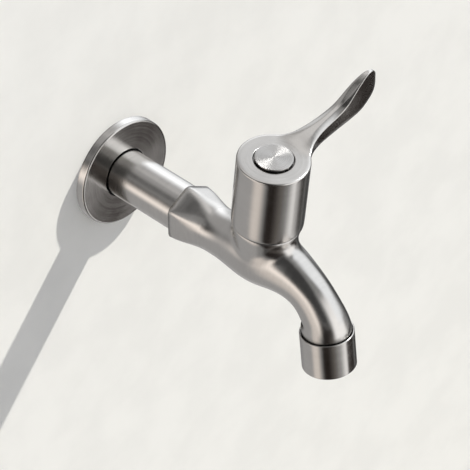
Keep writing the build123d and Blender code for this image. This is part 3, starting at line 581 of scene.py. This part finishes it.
def shape_station(last_section, reach, half, ridge_half, ridge, edge, foot):
    """Pulls the block's faces out by one station and gives the new section its widths and heights."""
    pull(x=first_pull)
    pulled = section_now()
    section = [
        [min(pulled, key=lambda item: (item[1] - place).length)[0] for place in column]
        for column in [[place + Vector((first_pull, 0, 0)) for place in column] for column in last_section]
    ]
    squeeze(x=0.0)
    move(x=reach * mm)
    foot_half = half + side_flare * (edge - foot)
    low = edge - under_edge
    slope = ((half + ridge_half) / 2, (edge + ridge) / 2 + slope_swell)
    rows = (
        [(half, edge), slope, (ridge_half, ridge), (0, ridge)],
        [(half + 0.1, low), (half * 0.7, low), (half * 0.35, low), (0, low)],
        [(foot_half, foot), (foot_half * 0.75, foot - 0.6), (foot_half * 0.35, foot - 0.9), (0, foot - 0.9)],
    )
    for level, row in enumerate(rows):
        for outwards, (y, z) in enumerate(row):
            pair = {section[outwards][level], section[2 * middle_column - outwards][level]}
            place = grab(pair)[0]
            if y:
                squeeze(y=y * mm / abs(place.y))
            move(z=cup_top + z * mm - place.z)
    everything = [index for column in section for index in column]
    places = dict(zip(everything, grab(everything)))
    bpy.ops.mesh.select_mode(type="FACE")
    return [[places[index] for index in column] for column in section]


# %% Lever stations
lever_stations = [
    # mm: reach from the axis, half width at the edge, half width of the ridge, then the heights over the roof
    # of the ridge, the edge and the foot
    (17.8, 5.6, 2.9, 2.0, 1.2, -3.5),
    (23.9, 3.8, 1.2, 3.9, 3.0, -3.0),
    (30.9, 3.3, 0.9, 5.3, 4.3, -2.2),
    (38.6, 3.0, 0.8, 7.3, 6.1, -1.1),
    (42.2, 2.9, 0.8, 9.5, 8.8, -0.5),
    (48.4, 2.1, 0.9, 14.5, 14.3, 0.4),
    (52.1, 1.5, 0.8, 16.4, 16.2, 1.4),
    (55.2, 1.0, 0.6, 17.7, 17.5, 3.4),
    (58.2, 0.7, 0.45, 17.0, 16.8, 5.2),
    (59.8, 0.5, 0.3, 14.9, 14.7, 8.2),
    (60.1, 0.3, 0.2, 13.4, 13.2, 9.8),
]
edge_columns, ridge_columns = (0, 6), (2, 4)
crisp_line, ridge_line = [], []
for station in lever_stations:
    next_section = shape_station(section, *station)
    for line, columns in ((crisp_line, edge_columns), (ridge_line, ridge_columns)):
        line.extend((section[column][0] + next_section[column][0]) / 2 for column in columns)
    section = next_section
print("lever pulled out to", lever_stations[-1][0], "mm from the axis")

# %% [markdown]
# The edges between slope and side are creased, so that subdivision leaves them crisp, and the ridge's two
# edges a little less. Both creases start after the first station, where the lever still belongs to the roof.

# %% Creases, normals and subdivision
edge_crease, ridge_crease = 0.85, 0.6
soft_start = len(edge_columns)   # this many edges of each line belong to the first station
for line, crease in ((crisp_line[soft_start:], edge_crease), (ridge_line[soft_start:], ridge_crease)):
    marked = pick("EDGE", lambda c: min((c - place).length for place in line) < 0.05 * mm)
    bpy.ops.transform.edge_crease(value=crease)
    print("creased edges", marked)
bpy.ops.mesh.select_all(action="SELECT")
bpy.ops.mesh.normals_make_consistent(inside=False)
bpy.ops.object.mode_set(mode="OBJECT")
subdivision = lever_handle.modifiers.new("subdivision", "SUBSURF")
subdivision.levels = subdivision.render_levels = 2
activate(lever_handle)
bpy.ops.object.modifier_apply(modifier=subdivision.name)
print("handle's outside", len(lever_handle.data.polygons), "faces")

# %% [markdown]
# Inside, the cup is hollow. A tube hangs from its roof with a hexagonal socket for the splined bush, the
# screw's hole, and the bore and recess for the cap. These are true cylinders that other pieces fit, so they
# are cut with booleans from cylinders of the fitted size.


# %% Cutting helpers
def add_prism(radius, bottom, top, sides=64):
    """A cylinder on the valve's axis between two heights in mm, as a tool for cutting."""
    return start_piece("prism", bpy.ops.mesh.primitive_cylinder_add, vertices=sides, radius=radius * mm,
                       depth=(top - bottom) * mm, location=(0, 0, (top + bottom) / 2 * mm))


def combine(piece, tool, operation):
    modifier = piece.modifiers.new(operation, "BOOLEAN")
    modifier.operation, modifier.solver, modifier.object = operation, "EXACT", tool
    activate(piece)
    bpy.ops.object.modifier_apply(modifier=modifier.name)
    bpy.data.objects.remove(tool)


# %% Inside of the cup
tube_root, tube_radius = 9.5, 7.4
tube_shoulder = 47.5
hollow = (13.9, 20, 54, 96)
holes = (
    # radius, bottom and top in mm, sides
    (5.5 / cos(pi / 6), 38, 47.6, 6),   # hexagonal socket for the splined bush, 11 mm across its flats
    (2.3, 47.5, 49.2, 32),              # the screw's hole
    (4.2, 49.2, 50.5, 32),              # seat of the washer and the screw's head
    (7.8, 50.5, 56.7, 64),              # bore for the cap's skirt
    (8.95, 56.7, 60, 64),               # recess for the button
)
combine(lever_handle, add_prism(*hollow), "DIFFERENCE")
tube = add_prism(tube_root, tube_shoulder, 54.3)
bpy.ops.object.mode_set(mode="EDIT")
pick("FACE", lambda c: c.z < (tube_shoulder + 0.1) * mm)
for drop, shrink in ((1.4, tube_radius / tube_root), (7.5, 1.0)):
    pull(z=-drop * mm)
    squeeze(x=shrink, y=shrink)
bpy.ops.object.mode_set(mode="OBJECT")
combine(lever_handle, tube, "UNION")
for hole in holes:
    combine(lever_handle, add_prism(*hole), "DIFFERENCE")
smooth_below = radians(32)
bpy.ops.object.shade_smooth_by_angle(angle=smooth_below)
print("handle", len(lever_handle.data.polygons), "faces")


# %% Place the handle
def put_on_axis(piece, axis_name):
    """Brings a piece modelled on local Z to the named axis, and leaves the place in its mesh."""
    point, turn = axes[axis_name]
    piece.location, piece.rotation_euler = point, (turn, 0, 0)
    activate(piece)
    bpy.ops.object.transform_apply(location=True, rotation=True, scale=True)


put_on_axis(lever_handle, "valve")
give_finish(lever_handle.data, steel_cup)
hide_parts("handle")
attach(lever_handle, "lever")
print("handle placed", [round(v / mm, 1) for v in lever_handle.dimensions], "mm")

# %% [markdown]
# ## Cap
# The button in the cup's top is turned from bar. A dark line shows round it, because its side draws in under
# an eased edge and leaves a gap to the recess. The solid's straight side makes that line too faint, so the
# button is turned here with the undercut, the groove for its ring and the hollow skirt.

# %% Turned cap
cap_sides = 96
face_radius, face_level, face_inset = 8.0, 59.2, 0.4
cap_profile = (
    # radius and height in mm
    (8.25, 59.12), (8.35, 58.98), (8.35, 58.7),               # eased edge of the face
    (7.9, 58.1), (7.75, 56.7), (7.3, 56.7),                   # undercut, and the step to the skirt
    (7.3, 55.7), (6.8, 55.7), (6.8, 54.7), (7.3, 54.7),       # groove for the ring
    (7.3, 53.7), (7.1, 53.5), (6.1, 53.5), (6.1, 57.2),       # skirt's end, and the hollow inside
)
turned_cap = start_piece("turned_cap", bpy.ops.mesh.primitive_circle_add, vertices=cap_sides,
                         radius=face_radius * mm, fill_type="NGON", location=(0, 0, face_level * mm))
bpy.ops.object.mode_set(mode="EDIT")
bpy.ops.mesh.select_all(action="SELECT")
bpy.ops.mesh.inset(thickness=face_inset * mm)
rim_edges = pick("EDGE", lambda c: c.xy.length > (face_radius - 0.1) * mm)
last_radius, last_level = face_radius, face_level
for radius, level in cap_profile:
    pull(z=(level - last_level) * mm)
    squeeze(x=radius / last_radius, y=radius / last_radius)
    last_radius, last_level = radius, level
bpy.ops.mesh.edge_face_add()
bpy.ops.mesh.select_all(action="SELECT")
bpy.ops.mesh.normals_make_consistent(inside=False)
bpy.ops.object.mode_set(mode="OBJECT")
bpy.ops.object.shade_smooth_by_angle(angle=smooth_below)
put_on_axis(turned_cap, "valve")
give_finish(turned_cap.data, steel_cap)
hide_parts("handle_cap")
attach(turned_cap, "lever")
print("cap", len(turned_cap.data.polygons), "faces from a rim of", rim_edges, "edges")

# %% [markdown]
# ## Wall and floor
# The tap hangs on a smooth plastered wall. Wall and floor are one-sided, so a view from behind sees the
# back of the tap. The metal doesn't mirror the wall: it mirrors the studio round it.


# %% Stage
def stage_plane(name, size, place, turn, colour):
    """A plastered plane that shows from its front only."""
    plane = start_piece(name, bpy.ops.mesh.primitive_plane_add, size=size, location=place, rotation=turn)
    material, tree, shader = new_material(name)
    shader.inputs["Roughness"].default_value = 0.9
    shader.inputs["Specular IOR Level"].default_value = 0.1
    noise = add(tree, "ShaderNodeTexNoise", (-700, 0), scale=28.0, detail=5.0, roughness=0.55)
    coordinates = add(tree, "ShaderNodeTexCoord", (-900, 0))
    tree.links.new(coordinates.outputs["Object"], noise.inputs["Vector"])
    darker = [c * 0.975 for c in colour] + [1]
    lighter = [min(1.0, c * 1.02) for c in colour] + [1]
    cloudy = smooth_step(tree, noise.outputs["Fac"], 0.35, 0.65)
    tree.links.new(mix_colour(tree, cloudy, darker, lighter, (-400, 0)), shader.inputs["Base Color"])
    clear = add(tree, "ShaderNodeBsdfTransparent", (0, -300))
    mix = add(tree, "ShaderNodeMixShader", (200, 0))
    geometry = add(tree, "ShaderNodeNewGeometry", (0, 300))
    feed(tree, mix.inputs, (geometry.outputs["Backfacing"], shader.outputs[0], clear.outputs[0]))
    tree.links.new(mix.outputs[0], tree.nodes["Material Output"].inputs["Surface"])
    plane.data.materials.append(material)
    plane.visible_glossy = False
    return plane


plaster_colour = (0.88, 0.865, 0.81)
wall_forward = 0.3 * mm   # the wall stands before the foam's back, so that a view from behind shows the foam
wall = stage_plane("wall", 3.0, (0, -wall_forward, 0.6), (radians(90), 0, 0), plaster_colour)
floor = stage_plane("floor", 6.0, (0, 0, -0.45), (0, 0, 0), plaster_colour)
print("stage", wall.name, floor.name)

# %% [markdown]
# ## Light
# Bare metal has no look of its own: it shows what stands round it. In a studio these are soft boxes and dark
# flags. They could be planes with a glow; here they are soft-edged areas of the world, each written as the
# direction it stands in, its half size, its softness and its level. Diffuse surfaces get one even level.

# %% Group for one soft-edged area of the world
area_group, area_in, area_out = new_group(
    "studio_area",
    [("Azimuth", "Float", None), ("Elevation", "Float", None), ("Behind", "Color", None),
     ("Centre azimuth", "Float", 0.0), ("Centre elevation", "Float", 0.0), ("Half width", "Float", 20.0),
     ("Half height", "Float", 20.0), ("Softness", "Float", 8.0), ("Glow", "Color", None)],
    [("Light", "Color", None)],
)
tree = area_group


def edge_mask(value, centre, half, goes_round):
    """1 inside centre plus or minus half, 0 outside, soft between."""
    away = math(tree, "SUBTRACT", area_in[value], area_in[centre])
    if goes_round:
        away = math(tree, "WRAP", away, 180.0, -180.0)
    away = math(tree, "ABSOLUTE", away)
    inner = math(tree, "SUBTRACT", area_in[half], area_in["Softness"])
    outer = math(tree, "ADD", area_in[half], area_in["Softness"])
    return smooth_step(tree, away, inner, outer, 1.0, 0.0)


mask = math(tree, "MULTIPLY", edge_mask("Azimuth", "Centre azimuth", "Half width", True),
            edge_mask("Elevation", "Centre elevation", "Half height", False))
tree.links.new(mix_colour(tree, mask, area_in["Behind"], area_in["Glow"]), area_out["Light"])
print("group", area_group.name)

# %% Areas of the studio
room_level = 0.27
tints = {
    "warm": (1.0, 0.92, 0.86),
    "neutral": (1.0, 0.99, 0.99),
    "cool": (0.97, 1.0, 1.04),
    "umber": (1.0, 0.78, 0.68),
}
studio_areas = [
    # name, azimuth from -Y towards +X, elevation, half width, half height, softness, level, tint
    ("back room", -172, 0, 74, 90, 5, 0.40, "neutral"),
    ("left soft box", -104, 5, 35, 16, 11, 1.32, "warm"),
    ("left low strip", -94, -27, 15, 27, 10, 0.80, "warm"),
    ("front dark flag", -39, -31, 28, 43, 8, 0.02, "umber"),
    ("front upper flag", -57, 50, 30, 36, 6, 0.05, "neutral"),
    ("front low dim", -17, -44, 10, 46, 20, 0.17, "warm"),
    ("window", 18, 7, 31, 30, 10, 1.20, "neutral"),
    ("window foot", 40, -38, 23, 19, 16, 1.09, "neutral"),
    ("high window", 73, 38, 47, 32, 12, 1.13, "cool"),
    ("right dark flag", 101, -28, 15, 41, 18, 0.03, "neutral"),
    ("wall bounce", 133, 12, 17, 25, 19, 1.95, "cool"),
    ("wall bounce foot", 155, -49, 23, 26, 5, 0.50, "neutral"),
    ("right corner dim", 157, -14, 27, 28, 16, 0.07, "neutral"),
    ("back upper dim", -135, 43, 14, 37, 11, 0.07, "neutral"),
    ("front low flag", 54, -36, 18, 12, 6, 0.03, "umber"),
    ("lever side flag", 68, -33, 11, 14, 4, 0.02, "umber"),
    ("back upper glow", -121, 41, 15, 17, 5, 0.28, "neutral"),
    ("ceiling glow", 140, 66, 42, 10, 9, 0.82, "neutral"),
]
print("studio of", len(studio_areas), "areas")

# %% World seen by gloss
world = bpy.data.worlds.new("studio")
bpy.context.scene.world = world
world.use_nodes = True
sky = world.node_tree
sky.nodes.clear()
direction = add(sky, "ShaderNodeTexCoord", (-2400, 0))
sky_parts = add(sky, "ShaderNodeSeparateXYZ", (-2200, 0))
sky.links.new(direction.outputs["Generated"], sky_parts.inputs[0])
sky_x, sky_y, sky_z = sky_parts.outputs
azimuth = math(sky, "DEGREES", math(sky, "ARCTAN2", sky_x, math(sky, "MULTIPLY", sky_y, -1.0)))
elevation = math(sky, "DEGREES", math(sky, "ARCSINE", sky_z))
room = add(sky, "ShaderNodeRGB")
room.outputs[0].default_value = (room_level, room_level, room_level, 1)
light_so_far = room.outputs[0]
for name, *shape, level, tint in studio_areas:
    area = add(sky, "ShaderNodeGroup", node_tree=area_group, label=name)
    glow = [level * part for part in tints[tint]] + [1]
    feed(sky, area.inputs, (azimuth, elevation, light_so_far, *shape, glow))
    light_so_far = area.outputs["Light"]
studio = add(sky, "ShaderNodeBackground")
sky.links.new(light_so_far, studio.inputs["Color"])
print("world with", len(sky.nodes), "nodes")

# %% World for the rest, and for the camera
even_colour, even_strength = (0.95, 0.98, 1.09, 1), 0.57
backdrop_colour = (0.80, 0.795, 0.77, 1)
even = add(sky, "ShaderNodeBackground")
feed(sky, even.inputs, (even_colour, even_strength))
plain = add(sky, "ShaderNodeBackground")
feed(sky, plain.inputs, (backdrop_colour,))
rays = add(sky, "ShaderNodeLightPath")
by_gloss = add(sky, "ShaderNodeMixShader")
by_camera = add(sky, "ShaderNodeMixShader")
sky_output = add(sky, "ShaderNodeOutputWorld")
feed(sky, by_gloss.inputs, (rays.outputs["Is Glossy Ray"], even.outputs[0], studio.outputs[0]))
feed(sky, by_camera.inputs, (rays.outputs["Is Camera Ray"], by_gloss.outputs[0], plain.outputs[0]))
sky.links.new(by_camera.outputs[0], sky_output.inputs["Surface"])
print("gloss sees", studio.name, "and the camera sees", plain.name)

# %% [markdown]
# ## Lamps
# The key draws the shadow on the wall. The metal sees it only as thin glints on its eased edges, and the
# cap's turned face shows a fan where its rings catch a lamp. Two weak lamps that only gloss can see give
# these, each for the pieces that it is meant for. Nothing else stops their light, not even the wall, which
# one of them stands behind.


# %% Lamps
def add_sun(name, azimuth, elevation, energy, width, pieces):
    """A sun in this direction, with its angles in degrees, that lights the given pieces only."""
    data = bpy.data.lights.new(name, "SUN")
    data.energy = energy
    data.angle = radians(width)
    lamp = bpy.data.objects.new(name, data)
    bpy.context.scene.collection.objects.link(lamp)
    to_lamp = towards(radians(azimuth), radians(elevation))
    lamp.rotation_euler = to_lamp.to_track_quat("Z", "Y").to_euler()
    receivers = bpy.data.collections.new("lit_by_" + name)
    for piece in pieces:
        receivers.objects.link(piece)
    lamp.light_linking.receiver_collection = receivers
    print("lamp", name, "for", len(pieces), "pieces")
    return lamp


def add_glint(name, azimuth, elevation, energy, width, pieces):
    """A sun that only shows as a highlight on these pieces, and that only they can block."""
    lamp = add_sun(name, azimuth, elevation, energy, width, pieces)
    lamp.visible_diffuse = False
    lamp.light_linking.blocker_collection = lamp.light_linking.receiver_collection


key_direction = (73, 47)
key = add_sun("key", *key_direction, 6.9, 1.2, [wall, lever_handle, turned_cap, *nodes.values()])
key.data.color = (1.0, 0.985, 0.945)
key.visible_glossy = False
add_glint("edge_glint", *key_direction, 0.8, 12, [nodes["inlet_pipe"], nodes["aerator_shell"], lever_handle])
add_glint("cap_fan", 140, 60.5, 0.25, 12, [turned_cap])

# %% [markdown]
# ## Colour management
# Blender's own setting bends bright tones together, which greys bright steel. Standard shows a colour about
# as it is written.

# %% Colour management
bpy.context.scene.view_settings.view_transform = "Standard"
print("view transform", bpy.context.scene.view_settings.view_transform)
